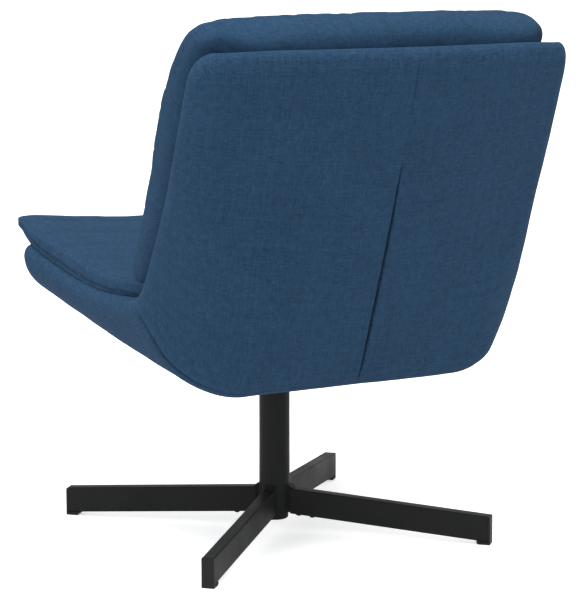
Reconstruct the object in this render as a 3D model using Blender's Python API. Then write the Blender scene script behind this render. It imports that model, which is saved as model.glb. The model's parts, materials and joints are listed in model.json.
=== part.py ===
"""Swivel lounge chair: a padded wrap-around shell on a fixed four-leg base.

Metres, +Z up.  The chair faces -Y and its left side is +X.  The floor is z = 0, and the origin is
the centre of the chair's footprint.  Every sub-part hangs from one of three empties, which stand on
the swivel axis: base_frame (fixed), cage_frame (the bearing's ball cage) and seat_frame (turns).
Inside those frames Y and Z are measured from the swivel axis at the floor.
"""

import math

import bmesh
import bpy
from mathutils import Euler, Matrix, Vector

# --- driving dimensions -------------------------------------------------------------------------

SWIVEL_Y = -0.021            # the swivel axis, ahead of the middle of the footprint
GAP = 0.0004                 # room left between touching pieces
BREAK_EDGE = 0.0006          # small chamfer on a cut edge
CHAMFER = 0.0015
DRILL_RUNOUT = 0.003         # how far a drill runs past the faces it opens

LEG_REACH = 0.360            # swivel axis to the end of a leg
LEG_START = 0.029
LEG_WIDTH = 0.020
LEG_HEIGHT = 0.042
LEG_WALL = 0.0015
LEG_START_Z = 0.0495         # middle of the tube at its two ends
LEG_END_Z = 0.0252
LEG_EDGE = 0.002
LEG_INNER_EDGE = 0.0008
LEG_YAWS = {"front_left": -45.0, "rear_left": 45.0, "rear_right": 135.0, "front_right": -135.0}
LEG_BOLT_REACHES = (0.041, 0.064)
LEG_BOLT_RADIUS = 0.003
LEG_BOLT_HEAD = (0.0052, 0.0034)     # radius and height
LEG_BOLT_LENGTH = 0.018
ARM_REACH = 0.085            # how far the hub's arms run inside the legs
ARM_ROOT = 0.014
ARM_WEDGE = 0.0045           # foot of the wedge between the column and a leg's top
CAP_PLATE = 0.0035
CAP_PLUG = 0.018
FOOT_LENGTH = 0.022
FOOT_CHAMFER = (0.0025, 0.0022)

COLUMN_RADIUS = 0.025
COLUMN_WALL = 0.0028
COLUMN_BOTTOM = 0.0773
COLUMN_TOP = 0.285
HUB_BOTTOM = 0.019
HUB_BOTTOM_RADIUS = 0.0225
HUB_FULL_Z = 0.060           # where the hub reaches the column's radius
HUB_BORE = 0.010
SPIGOT_TOP = 0.115
SPIGOT_CHAMFER = 0.002

SPINDLE_RADIUS = 0.0145
SPINDLE_BOTTOM = 0.150
SPINDLE_CHAMFER = 0.001
SPINDLE_TOP_ROOM = 0.010     # length above the shoulder before the end is cut to the slope
GROOVE_Z = 0.1546            # bottom of the clip's groove
GROOVE_WIDTH = 0.0018
GROOVE_DEPTH = 0.0014
CLIP_RADII = (0.0135, 0.0170)
CLIP_THICKNESS = 0.0012
CLIP_OPENING = 56.0          # degrees
CLIP_STEPS = 20
LOWER_BUSH = (0.158, 0.178)
UPPER_BUSH_BOTTOM = 0.262
BUSH_FLANGE = 0.0032
RACE_THICKNESS = 0.0026
RACE_INNER = 0.0160
RACE_OUTER = 0.0235
BALL_RADIUS = 0.0027
BALL_COUNT = 8
CAGE_THICKNESS = 0.0020
SHOULDER_THICKNESS = 0.008
COVER_RADIUS = 0.0285
COVER_WALL = 0.0022
COVER_SKIRT = 0.006          # how far the cover hangs below the column's top

SHELL_HALF_WIDTH = 0.318
SHELL_THICKNESS = 0.038
FRAME_THICKNESS = 0.0072     # moulded plywood
FRAME_DEPTH = 0.0154         # outer skin to the plywood
FRAME_END_ROWS = 2           # rows of the shell left soft beyond its front and top edges
SHELL_FRONT = (-0.342, 0.383)        # (y, z) on the outer face, in the middle of the chair
SHELL_REAR_CORNER = (0.257, 0.273)
SHELL_BACK_BOW = (0.368, 0.560)
SHELL_TOP = (0.437, 0.806)
CORNER_LEG = 0.042           # length of each side of the rear corner's rounding
RIM_FRONT = (-0.325, 0.4600)         # (y, z) along the rim, at the chair's sides
RIM_DIP = (-0.070, 0.396)
RIM_NOTCH = (0.152, 0.426)
RIM_WING_BOW = (0.248, 0.588)
RIM_TOP = (0.318, 0.780)
RIM_TOP_CORNER = (0.356, 0.806)
NOTCH_LEG = 0.022
FRONT_CORNER_RADIUS = 0.080
TOP_CORNER_RADIUS = 0.030
SEAT_CORNER_WIDTH = 0.075    # width of the rounding between the underside and a side
REAR_CORNER_WIDTH = 0.135
BACK_CORNER_WIDTH = 0.042
BACK_BOW_SHARE = 0.52        # how much of the upper back's depth is one wide bow
SEAM_SLOT_TOP = 0.68         # share of the back's height
SEAM_SLOT_WIDTH = 0.0032
SEAM_SLOT_DEPTH = 0.0050
SEAM_SLOT_TAPER = 0.6        # share of the width lost at the top
SEAM_STRIP_INSET = 0.0025

PLATE_SIZE = 0.160
PLATE_THICKNESS = 0.004
PLATE_CORNER = 0.012
PLATE_BOLT_SPACING = 0.120
PLATE_BOLT_RADIUS = 0.0039
PLATE_BOLT_HEAD = (0.0075, 0.0048)   # radius over the corners, and height
PLATE_BOLT_SHORT = 0.001     # the bolt ends this far inside its nut
WINDOW_SIZE = 0.205          # opening in the upholstery around the plate
WINDOW_REACH = 0.030
DUST_COVER_SIZE = 0.250
DUST_COVER_CORNER = 0.015
DUST_COVER_THICKNESS = 0.0010
DUST_COVER_HOLE = 0.034
TEE_NUT_FLANGE = (0.0092, 0.0014)    # radius and thickness
TEE_NUT_BARREL = 0.0054

# A cushion lies in its own frame: x across, y along, z through it.  "upper" and "lower" are its
# thicknesses (middle, change towards +y); below, "fill" thickens the quarters, "nest" is the half
# width and the -y reach that fit between the shell's rims, "edge" the thickness left outside them.
SEAT_CUSHION = {
    "half_width": 0.304, "half_length": 0.312, "centre": (-0.088, 0.4170), "pitch": -9.3,
    "upper": (0.028, 0.012), "lower": (0.0375, 0.010), "bend": 0.024, "rise": 0.080,
    "fill": 0.030, "nest": (0.257, 0.262), "edge": 0.0120, "thin_front": 1.5, "plan": (8.0, 4.0),
}
BACK_CUSHION = {
    "half_width": 0.306, "half_length": 0.218, "centre": (0.2540, 0.650), "pitch": 64.0,
    "upper": (0.048, 0.001), "lower": (0.081, -0.021), "bend": 0.062, "rise": -0.034,
    "fill": 0.040, "nest": (0.266, 0.500), "edge": 0.055, "thin_front": 0.0, "plan": (5.5, 7.5),
}
EDGE_SQUARENESS = 3.0
CUSHION_CELLS = 9

ROUND = 32                   # sides of a turned piece
SMALL_ROUND = 12

# --- materials ----------------------------------------------------------------------------------

FINISHES = {
    "black_powder_coat": ((0.024, 0.025, 0.026), 0.42, 0.0),
    "zinc_steel": ((0.52, 0.52, 0.50), 0.32, 1.0),
    "bearing_steel": ((0.60, 0.61, 0.62), 0.18, 1.0),
    "black_nylon": ((0.018, 0.018, 0.019), 0.55, 0.0),
    "white_acetal": ((0.72, 0.71, 0.67), 0.45, 0.0),
    "plywood": ((0.47, 0.33, 0.19), 0.62, 0.0),
    "blue_linen_weave": ((0.027, 0.084, 0.178), 0.92, 0.0),
    "black_lining": ((0.015, 0.015, 0.016), 0.95, 0.0),
}


def material(finish):
    found = bpy.data.materials.get(finish)
    if found:
        return found
    colour, roughness, metallic = FINISHES[finish]
    made = bpy.data.materials.new(finish)
    made.use_nodes = True
    shader = made.node_tree.nodes["Principled BSDF"]
    shader.inputs["Base Color"].default_value = (*colour, 1.0)
    shader.inputs["Roughness"].default_value = roughness
    shader.inputs["Metallic"].default_value = metallic
    return made


# --- making objects -----------------------------------------------------------------------------


def clear_scene():
    for thing in list(bpy.data.objects):
        bpy.data.objects.remove(thing, do_unlink=True)


def frame_empty(name):
    empty = bpy.data.objects.new(name, None)
    empty.location = (0.0, SWIVEL_Y, 0.0)
    bpy.context.scene.collection.objects.link(empty)
    return empty


def finish_object(name, bm, finish, parent, place=None, smooth_angle=35.0):
    """Turn a bmesh into a named object; place is its matrix inside the parent's frame."""
    bmesh.ops.recalc_face_normals(bm, faces=bm.faces)
    mesh = bpy.data.meshes.new(name)
    bm.to_mesh(mesh)
    bm.free()
    mesh.shade_smooth()
    mesh.set_sharp_from_angle(angle=math.radians(smooth_angle))
    made = bpy.data.objects.new(name, mesh)
    bpy.context.scene.collection.objects.link(made)
    made.parent = parent
    if place is not None:
        made.location = place.to_translation()
        made.rotation_euler = place.to_euler()
    if finish:
        mesh.materials.append(material(finish))
    return made


def as_cutter(thing):
    thing.hide_render = True
    thing.display_type = "WIRE"
    return thing


def combine(target, other, operation):
    boolean = target.modifiers.new(operation.lower(), "BOOLEAN")
    boolean.operation = operation
    boolean.solver = "EXACT"
    boolean.object = as_cutter(other)


def turned(profile, sides=ROUND):
    """Spin a closed (radius, z) outline about Z; points on the axis become poles."""
    bm = bmesh.new()
    points = [bm.verts.new((radius, 0.0, z)) for radius, z in profile]
    on_axis = profile[0][0] == 0.0 and profile[-1][0] == 0.0
    pairs = zip(points, points[1:] if on_axis else points[1:] + points[:1])
    edges = [bm.edges.new(pair) for pair in pairs]
    bmesh.ops.spin(
        bm, geom=points + edges, cent=(0, 0, 0), axis=(0, 0, 1), angle=math.tau, steps=sides,
        use_merge=True, use_duplicate=False,
    )
    bmesh.ops.remove_doubles(bm, verts=bm.verts, dist=1e-6)
    return bm


def ring(inner, outer, low, high, sides=ROUND):
    return turned([(inner, low), (outer, low), (outer, high), (inner, high)], sides)


def prism(outline, half_depth):
    """Extrude an (x, z) outline along Y, half_depth to each side."""
    bm = bmesh.new()
    face = bm.faces.new([bm.verts.new((x, -half_depth, z)) for x, z in outline])
    moved = bmesh.ops.extrude_face_region(bm, geom=[face])["geom"]
    bmesh.ops.translate(
        bm, vec=(0, 2 * half_depth, 0), verts=[v for v in moved if isinstance(v, bmesh.types.BMVert)]
    )
    return bm


def merge_into(bm, other, matrix):
    """Add another bmesh, moved by matrix, as a separate body."""
    other.transform(matrix)
    mesh = bpy.data.meshes.new("merge")
    other.to_mesh(mesh)
    other.free()
    bm.from_mesh(mesh)
    bpy.data.meshes.remove(mesh)


def rounded_rectangle(half_width, half_height, radius, steps=3):
    corners = ((1, 1, 0), (-1, 1, 90), (-1, -1, 180), (1, -1, 270))
    outline = []
    for sx, sy, start in corners:
        for k in range(steps + 1):
            angle = math.radians(start + 90.0 * k / steps)
            outline.append((
                sx * (half_width - radius) + radius * math.cos(angle),
                sy * (half_height - radius) + radius * math.sin(angle),
            ))
    return outline


def bridge_rings(bm, first, second):
    count = len(first)
    for k in range(count):
        after = (k + 1) % count
        bm.faces.new((first[k], first[after], second[after], second[k]))


# --- base ---------------------------------------------------------------------------------------

LEG_SLOPE = (LEG_END_Z - LEG_START_Z) / (LEG_REACH - LEG_START)
LEG_PITCH = -math.atan(LEG_SLOPE)


def leg_middle_z(reach):
    return LEG_START_Z + LEG_SLOPE * (reach - LEG_START)


def leg_half_height():
    """Half the tube's height, measured straight up rather than square to the tube."""
    return 0.5 * LEG_HEIGHT / math.cos(LEG_PITCH)


def yaw_matrix(yaw):
    return Matrix.Rotation(math.radians(yaw), 4, "Z")


def leg_bolt_matrix(reach):
    """Bolt frame inside a leg's frame: its z axis stands square on the tube's underside."""
    under = Vector((reach, 0.0, leg_middle_z(reach) - leg_half_height()))
    return Matrix.Translation(under) @ Matrix.Rotation(LEG_PITCH, 4, "Y")


def make_hub(base):
    top = COLUMN_BOTTOM - GAP
    spigot = COLUMN_RADIUS - COLUMN_WALL - GAP
    hub = finish_object("base_hub", turned([
        (HUB_BORE, HUB_BOTTOM), (HUB_BOTTOM_RADIUS - CHAMFER, HUB_BOTTOM),
        (HUB_BOTTOM_RADIUS, HUB_BOTTOM + CHAMFER), (COLUMN_RADIUS, HUB_FULL_Z),
        (COLUMN_RADIUS, top), (spigot, top), (spigot, SPIGOT_TOP - SPIGOT_CHAMFER),
        (spigot - SPIGOT_CHAMFER, SPIGOT_TOP), (HUB_BORE, SPIGOT_TOP),
    ]), "black_powder_coat", base)
    inside = leg_half_height() - LEG_WALL - GAP
    neck = LEG_START - GAP
    leg_top = leg_middle_z(LEG_START) + leg_half_height()
    arm = [
        (ARM_ROOT, leg_middle_z(ARM_ROOT) - inside), (ARM_REACH, leg_middle_z(ARM_REACH) - inside),
        (ARM_REACH, leg_middle_z(ARM_REACH) + inside), (neck, leg_middle_z(neck) + inside),
        (neck, leg_top + GAP), (LEG_START + ARM_WEDGE, leg_top + GAP),
        (COLUMN_RADIUS + GAP, top), (ARM_ROOT, top),
    ]
    arms = bmesh.new()
    for yaw in LEG_YAWS.values():
        merge_into(arms, prism(arm, LEG_WIDTH / 2 - LEG_WALL - GAP), yaw_matrix(yaw))
    combine(hub, finish_object("hub_arms", arms, None, base), "UNION")
    drills, deep = bmesh.new(), LEG_BOLT_LENGTH + GAP
    for yaw in LEG_YAWS.values():
        for reach in LEG_BOLT_REACHES:
            drill = turned(
                [(0.0, -DRILL_RUNOUT), (LEG_BOLT_RADIUS + GAP, -DRILL_RUNOUT),
                 (LEG_BOLT_RADIUS + GAP, deep), (0.0, deep)], SMALL_ROUND)
            merge_into(drills, drill, yaw_matrix(yaw) @ leg_bolt_matrix(reach))
    combine(hub, finish_object("hub_drills", drills, None, base), "DIFFERENCE")


def make_column(base):
    inner = COLUMN_RADIUS - COLUMN_WALL
    finish_object("column_tube", turned([
        (inner, COLUMN_BOTTOM), (COLUMN_RADIUS, COLUMN_BOTTOM),
        (COLUMN_RADIUS, COLUMN_TOP - BREAK_EDGE), (COLUMN_RADIUS - BREAK_EDGE, COLUMN_TOP),
        (inner, COLUMN_TOP),
    ]), "black_powder_coat", base)


def leg_tube_mesh():
    """A rectangular tube whose ends are cut upright although the tube slopes."""
    bm = bmesh.new()
    rings = []
    for shrink in (0.0, LEG_WALL):
        outline = rounded_rectangle(
            LEG_WIDTH / 2 - shrink, LEG_HEIGHT / 2 - shrink, max(LEG_EDGE - shrink, LEG_INNER_EDGE))
        for reach in (LEG_START, LEG_REACH - CAP_PLATE - GAP):
            middle = leg_middle_z(reach)
            rise = 1.0 / math.cos(LEG_PITCH)
            rings.append([bm.verts.new((reach, y, middle + z * rise)) for y, z in outline])
    outer_near, outer_far, inner_near, inner_far = rings
    bridge_rings(bm, outer_near, outer_far)
    bridge_rings(bm, inner_near, inner_far)
    bridge_rings(bm, outer_near, inner_near)
    bridge_rings(bm, outer_far, inner_far)
    return bm


def leg_cap_mesh():
    """End plate and foot; the foot's inner edge is chamfered."""
    half = leg_half_height()
    chamfer_run, chamfer_rise = FOOT_CHAMFER
    tube_end = LEG_REACH - CAP_PLATE
    foot_start = LEG_REACH - FOOT_LENGTH
    top = leg_middle_z(tube_end) + half

    def under(reach):
        return leg_middle_z(reach) - half - GAP

    corner = [(LEG_REACH - CAP_PLATE * (1 - math.cos(a)), top - CAP_PLATE * (1 - math.sin(a)))
              for a in (math.radians(30 * k) for k in range(4))]
    outline = [(foot_start + chamfer_run, 0.0), (LEG_REACH, 0.0)] + corner + [
        (tube_end, under(tube_end)), (foot_start, under(foot_start)), (foot_start, chamfer_rise),
    ]
    return prism(outline, LEG_WIDTH / 2)


def leg_plug_mesh():
    """The part of an end cap that is pushed into the tube."""
    inside = leg_half_height() - LEG_WALL - GAP
    first, last = LEG_REACH - CAP_PLATE - CAP_PLUG, LEG_REACH - CAP_PLATE / 2
    outline = [
        (first, leg_middle_z(first) - inside), (last, leg_middle_z(last) - inside),
        (last, leg_middle_z(last) + inside), (first, leg_middle_z(first) + inside),
    ]
    return prism(outline, LEG_WIDTH / 2 - LEG_WALL - GAP)


def button_bolt_mesh(head_radius, head_height, shank_radius, length):
    """Domed head below z = 0, shank above it."""
    return turned([
        (0.0, -head_height), (head_radius * 0.6, -head_height),
        (head_radius, -head_height * 0.4), (head_radius, -GAP), (shank_radius, -GAP),
        (shank_radius, length), (0.0, length),
    ], SMALL_ROUND)


def hex_bolt_mesh(head_radius, head_height, shank_radius, length):
    """Six-sided head below z = 0, shank above it."""
    bm = turned([
        (0.0, -head_height), (head_radius, -head_height), (head_radius, -GAP),
        (shank_radius, -GAP), (shank_radius, length), (0.0, length),
    ], SMALL_ROUND)
    flat = head_radius * math.cos(math.radians(30))
    for vertex in bm.verts:
        if vertex.co.xy.length > shank_radius * 1.2:
            from_flat = math.atan2(vertex.co.y, vertex.co.x) % math.radians(60) - math.radians(30)
            vertex.co.xy *= flat / math.cos(from_flat) / head_radius
    return bm


def make_legs(base):
    for place, yaw in LEG_YAWS.items():
        turn = yaw_matrix(yaw)
        leg = finish_object(f"leg_{place}", leg_tube_mesh(), "black_powder_coat", base, turn)
        drills = bmesh.new()
        for reach in LEG_BOLT_REACHES:
            low, high = -DRILL_RUNOUT, LEG_WALL + DRILL_RUNOUT
            drill = turned([(0.0, low), (LEG_BOLT_RADIUS + GAP, low),
                            (LEG_BOLT_RADIUS + GAP, high), (0.0, high)], SMALL_ROUND)
            merge_into(drills, drill, leg_bolt_matrix(reach))
        combine(leg, finish_object(f"leg_drills_{place}", drills, None, base, turn), "DIFFERENCE")
        cap = finish_object(f"end_cap_{place}", leg_cap_mesh(), "black_nylon", base, turn)
        combine(cap, finish_object(f"cap_plug_{place}", leg_plug_mesh(), None, base, turn), "UNION")
        for number, reach in enumerate(LEG_BOLT_REACHES, 1):
            bolt = button_bolt_mesh(*LEG_BOLT_HEAD, LEG_BOLT_RADIUS, LEG_BOLT_LENGTH)
            finish_object(
                f"leg_bolt_{place}_{number}", bolt, "black_powder_coat", base,
                turn @ leg_bolt_matrix(reach))


# --- swivel bearing -----------------------------------------------------------------------------

LOWER_RACE_BOTTOM = COLUMN_TOP + BUSH_FLANGE
BALL_CENTRE = LOWER_RACE_BOTTOM + RACE_THICKNESS + GAP + BALL_RADIUS
UPPER_RACE_BOTTOM = BALL_CENTRE + BALL_RADIUS + GAP
SHOULDER_BOTTOM = UPPER_RACE_BOTTOM + RACE_THICKNESS + GAP
SHOULDER_TOP = SHOULDER_BOTTOM + SHOULDER_THICKNESS
BALL_CIRCLE = (RACE_INNER + RACE_OUTER) / 2


def make_bushes(base):
    bore = SPINDLE_RADIUS + GAP
    seat = COLUMN_RADIUS - COLUMN_WALL - GAP
    low, high = LOWER_BUSH
    finish_object("lower_bush", ring(bore, seat, low, high), "white_acetal", base)
    flange = COLUMN_TOP + GAP
    finish_object("upper_bush", turned([
        (bore, UPPER_BUSH_BOTTOM), (seat, UPPER_BUSH_BOTTOM), (seat, flange),
        (COLUMN_RADIUS, flange), (COLUMN_RADIUS, LOWER_RACE_BOTTOM - GAP),
        (bore, LOWER_RACE_BOTTOM - GAP),
    ]), "white_acetal", base)
    race = ring(RACE_INNER, RACE_OUTER, LOWER_RACE_BOTTOM, LOWER_RACE_BOTTOM + RACE_THICKNESS)
    finish_object("lower_race", race, "bearing_steel", base)


def ball_matrix(number):
    angle = math.tau * number / BALL_COUNT
    return Matrix.Translation(
        (BALL_CIRCLE * math.cos(angle), BALL_CIRCLE * math.sin(angle), BALL_CENTRE))


def make_ball_cage(cage):
    low, high = BALL_CENTRE - CAGE_THICKNESS / 2, BALL_CENTRE + CAGE_THICKNESS / 2
    cage_ring = finish_object(
        "ball_cage", ring(RACE_INNER + GAP, RACE_OUTER, low, high), "black_nylon", cage)
    pockets = bmesh.new()
    for number in range(BALL_COUNT):
        reach = CAGE_THICKNESS
        pocket = turned([(0.0, -reach), (BALL_RADIUS + GAP, -reach), (BALL_RADIUS + GAP, reach),
                         (0.0, reach)], SMALL_ROUND)
        merge_into(pockets, pocket, ball_matrix(number))
        ball = bmesh.new()
        bmesh.ops.create_uvsphere(ball, u_segments=10, v_segments=6, radius=BALL_RADIUS)
        finish_object(f"ball_{number + 1}", ball, "bearing_steel", cage, ball_matrix(number))
    combine(cage_ring, finish_object("cage_pockets", pockets, None, cage), "DIFFERENCE")


def seat_slope():
    (y0, z0), (y1, z1) = SHELL_FRONT, SHELL_REAR_CORNER
    return (z1 - z0) / (y1 - y0)


def seat_tilt_matrix(depth):
    """Frame on the swivel axis, tilted with the underside, depth above the outer face."""
    (y0, z0), slope = SHELL_FRONT, seat_slope()
    tilt = math.atan(slope)
    height = z0 - slope * y0 + depth / math.cos(tilt)
    return Matrix.Translation((0.0, 0.0, height)) @ Matrix.Rotation(tilt, 4, "X")


def slab(outline, low, thickness):
    """A level plate with an (x, y) outline, its underside at z = low."""
    bm = bmesh.new()
    face = bm.faces.new([bm.verts.new((x, y, low)) for x, y in outline])
    grown = bmesh.ops.extrude_face_region(bm, geom=[face])["geom"]
    bmesh.ops.translate(
        bm, vec=(0, 0, thickness), verts=[v for v in grown if isinstance(v, bmesh.types.BMVert)])
    return bm


def clip_mesh():
    """An open ring that sits in the spindle's groove."""
    inner, outer = CLIP_RADII
    start, turn = math.radians(CLIP_OPENING / 2), math.radians(360 - CLIP_OPENING)
    arc = [start + turn * k / CLIP_STEPS for k in range(CLIP_STEPS + 1)]
    outline = [(outer * math.cos(a), outer * math.sin(a)) for a in arc]
    outline += [(inner * math.cos(a), inner * math.sin(a)) for a in reversed(arc)]
    return slab(outline, GROOVE_Z + (GROOVE_WIDTH - CLIP_THICKNESS) / 2, CLIP_THICKNESS)


def make_spindle(seat):
    finish_object("upper_race", ring(
        RACE_INNER, RACE_OUTER, UPPER_RACE_BOTTOM, UPPER_RACE_BOTTOM + RACE_THICKNESS,
    ), "bearing_steel", seat)
    end = SHOULDER_TOP + SPINDLE_TOP_ROOM
    bm = turned([
        (0.0, SPINDLE_BOTTOM), (SPINDLE_RADIUS - SPINDLE_CHAMFER, SPINDLE_BOTTOM),
        (SPINDLE_RADIUS, SPINDLE_BOTTOM + SPINDLE_CHAMFER), (SPINDLE_RADIUS, GROOVE_Z),
        (SPINDLE_RADIUS - GROOVE_DEPTH, GROOVE_Z),
        (SPINDLE_RADIUS - GROOVE_DEPTH, GROOVE_Z + GROOVE_WIDTH),
        (SPINDLE_RADIUS, GROOVE_Z + GROOVE_WIDTH), (SPINDLE_RADIUS, SHOULDER_BOTTOM),
        (RACE_OUTER, SHOULDER_BOTTOM), (RACE_OUTER, SHOULDER_TOP), (SPINDLE_RADIUS, SHOULDER_TOP),
        (SPINDLE_RADIUS, end), (0.0, end),
    ])
    plate_under = seat_tilt_matrix(FRAME_DEPTH - GAP - PLATE_THICKNESS - GAP)
    level = plate_under.to_translation().z
    for vertex in bm.verts:
        if vertex.co.z > SHOULDER_TOP + SPINDLE_TOP_ROOM / 2:
            vertex.co.z = level + seat_slope() * vertex.co.y
    finish_object("spindle", bm, "zinc_steel", seat)
    finish_object("retaining_clip", clip_mesh(), "zinc_steel", seat)
    inside = COVER_RADIUS - COVER_WALL
    low, top = COLUMN_TOP - COVER_SKIRT, SHOULDER_TOP + GAP + COVER_WALL
    finish_object("bearing_cover", turned([
        (inside, low), (COVER_RADIUS, low), (COVER_RADIUS, top - CHAMFER),
        (COVER_RADIUS - CHAMFER, top), (SPINDLE_RADIUS + GAP, top),
        (SPINDLE_RADIUS + GAP, SHOULDER_TOP + GAP), (inside, SHOULDER_TOP + GAP),
    ]), "black_nylon", seat)


def plate_matrix():
    """Frame of the seat plate: its underside is z = 0."""
    return seat_tilt_matrix(FRAME_DEPTH - GAP - PLATE_THICKNESS)


def plate_corners():
    half = PLATE_BOLT_SPACING / 2
    return {"front_left": (half, -half), "front_right": (-half, -half),
            "rear_left": (half, half), "rear_right": (-half, half)}


def plate_drills(radius, low, high):
    drills = bmesh.new()
    for x, y in plate_corners().values():
        drill = turned([(0.0, low), (radius, low), (radius, high), (0.0, high)], SMALL_ROUND)
        merge_into(drills, drill, Matrix.Translation((x, y, 0.0)))
    return drills


def square_slab(size, corner, low, thickness):
    return slab(rounded_rectangle(size / 2, size / 2, corner), low, thickness)


def make_seat_plate(seat):
    under = plate_matrix()
    plate = finish_object(
        "seat_plate", square_slab(PLATE_SIZE, PLATE_CORNER, 0.0, PLATE_THICKNESS),
        "black_powder_coat", seat, under)
    drills = plate_drills(PLATE_BOLT_RADIUS + GAP, -DRILL_RUNOUT, PLATE_THICKNESS + DRILL_RUNOUT)
    combine(plate, finish_object("plate_drills", drills, None, seat, under), "DIFFERENCE")
    nut_top = PLATE_THICKNESS + GAP + FRAME_THICKNESS
    for place, (x, y) in plate_corners().items():
        spot = under @ Matrix.Translation((x, y, 0.0))
        bolt = hex_bolt_mesh(*PLATE_BOLT_HEAD, PLATE_BOLT_RADIUS, nut_top - PLATE_BOLT_SHORT)
        finish_object(f"plate_bolt_{place}", bolt, "zinc_steel", seat, spot)
        flange, thickness = TEE_NUT_FLANGE
        bore = PLATE_BOLT_RADIUS + GAP
        nut = turned([
            (bore, PLATE_THICKNESS + 2 * GAP), (TEE_NUT_BARREL, PLATE_THICKNESS + 2 * GAP),
            (TEE_NUT_BARREL, nut_top - thickness), (flange, nut_top - thickness),
            (flange, nut_top), (bore, nut_top),
        ], SMALL_ROUND)
        finish_object(f"tee_nut_{place}", nut, "zinc_steel", seat, spot)


# --- shell --------------------------------------------------------------------------------------

FRONT_ROWS = 3               # rows of the loft: the front corners, the seat, the rear corner,
SEAT_ROWS = 5                # the back and the top corners
CORNER_ROWS = 4
BACK_ROWS = 7
TOP_ROWS = 3
FLAT_COLUMNS = 4             # columns of the loft on each side of the middle
SIDE_COLUMNS = 5


def quadratic(p0, p1, p2, t):
    return p0 * (1 - t) ** 2 + p1 * 2 * t * (1 - t) + p2 * t ** 2


def quadratic_slope(p0, p1, p2, t):
    return (p1 - p0) * 2 * (1 - t) + (p2 - p1) * 2 * t


def row_shares():
    """For each row: the stretch (seat, corner or back) that it is on, and how far along it."""
    seat_run = SHELL_REAR_CORNER[0] - SHELL_FRONT[0]
    front = FRONT_CORNER_RADIUS / seat_run
    rows = [("seat", front * (1 - math.cos(math.pi / 2 * k / FRONT_ROWS))) for k in range(FRONT_ROWS)]
    rows += [("seat", front + (1 - front) * k / SEAT_ROWS) for k in range(SEAT_ROWS)]
    rows += [("corner", k / CORNER_ROWS) for k in range(CORNER_ROWS)]
    top = TOP_CORNER_RADIUS / (SHELL_TOP[1] - SHELL_REAR_CORNER[1])
    rows += [("back", (1 - top) * k / BACK_ROWS) for k in range(BACK_ROWS)]
    rows += [("back", 1 - top * (1 - math.sin(math.pi / 2 * k / TOP_ROWS))) for k in range(TOP_ROWS + 1)]
    return rows


ROWS = row_shares()
LAST_ROW = len(ROWS) - 1
LAST_COLUMN = FLAT_COLUMNS + SIDE_COLUMNS


def centre_curve(stretch):
    front, corner = Vector(SHELL_FRONT), Vector(SHELL_REAR_CORNER)
    bow, top = Vector(SHELL_BACK_BOW), Vector(SHELL_TOP)
    corner_in = corner + (front - corner).normalized() * CORNER_LEG
    corner_out = corner + (bow - corner).normalized() * CORNER_LEG
    return {"seat": (front, (front + corner_in) / 2, corner_in),
            "corner": (corner_in, corner, corner_out),
            "back": (corner_out, bow, top)}[stretch]


def centre_point(row, depth):
    """A point in the chair's middle plane, depth inside the outer face."""
    stretch, share = ROWS[row]
    curve = centre_curve(stretch)
    point = quadratic(*curve, share)
    along = quadratic_slope(*curve, share).normalized()
    return point + Vector((-along.y, along.x)) * depth


def rim_point(row):
    stretch, share = ROWS[row]
    front, dip, notch = Vector(RIM_FRONT), Vector(RIM_DIP), Vector(RIM_NOTCH)
    bow, top, corner = Vector(RIM_WING_BOW), Vector(RIM_TOP), Vector(RIM_TOP_CORNER)
    notch_in = notch + (dip - notch).normalized() * NOTCH_LEG
    notch_out = notch + (bow - notch).normalized() * NOTCH_LEG
    if stretch == "seat":
        return quadratic(front, dip, notch_in, share)
    if stretch == "corner":
        return quadratic(notch_in, notch, notch_out, share)
    straight = LAST_ROW - TOP_ROWS
    if row <= straight:
        return quadratic(notch_out, bow, top, share / ROWS[straight][1])
    turn = (row - straight) / TOP_ROWS
    along = (top - bow).normalized() * (corner - top).length * 0.5
    return quadratic(top, top + along, corner, turn)


def corner_inset(distance, radius):
    """How far a rounded corner draws the side in, at a distance from the end."""
    if distance >= radius:
        return 0.0
    return radius - math.sqrt(radius ** 2 - (radius - distance) ** 2)


def half_width(row):
    stretch, share = ROWS[row]
    if stretch == "seat":
        run = SHELL_REAR_CORNER[0] - SHELL_FRONT[0]
        return SHELL_HALF_WIDTH - corner_inset(share * run, FRONT_CORNER_RADIUS)
    if stretch == "back":
        rise = SHELL_TOP[1] - SHELL_REAR_CORNER[1]
        return SHELL_HALF_WIDTH - corner_inset((1 - share) * rise, TOP_CORNER_RADIUS)
    return SHELL_HALF_WIDTH


def smooth_step(share):
    share = min(max(share, 0.0), 1.0)
    return share * share * (3 - 2 * share)


def side_rounding(row):
    """Width of the rounding towards a side, and the share of the depth that is a plain bow."""
    stretch, share = ROWS[row]
    if stretch == "seat":
        return SEAT_CORNER_WIDTH + (REAR_CORNER_WIDTH - SEAT_CORNER_WIDTH) * smooth_step(share), 0.0
    if stretch == "corner":
        return REAR_CORNER_WIDTH, 0.0
    width = REAR_CORNER_WIDTH + (BACK_CORNER_WIDTH - REAR_CORNER_WIDTH) * smooth_step(share * 2)
    return width, BACK_BOW_SHARE * smooth_step(share * 2)


def shell_point(row, column, depth):
    """A point of the shell; column 0 is the middle and +-LAST_COLUMN the rims."""
    centre, rim = centre_point(row, depth), rim_point(row)
    width, bow = side_rounding(row)
    half, width = half_width(row) - depth, width - depth
    step = abs(column)
    if step <= FLAT_COLUMNS:
        x, turned_in = (half - width) * step / FLAT_COLUMNS, 0.0
    else:
        angle = math.pi / 2 * (step - FLAT_COLUMNS) / SIDE_COLUMNS
        x, turned_in = half - width + width * math.sin(angle), 1 - math.cos(angle)
    share = bow * (x / half) ** 2 + (1 - bow) * turned_in
    y, z = centre + (rim - centre) * share
    return Vector((math.copysign(x, column), y, z))


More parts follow.
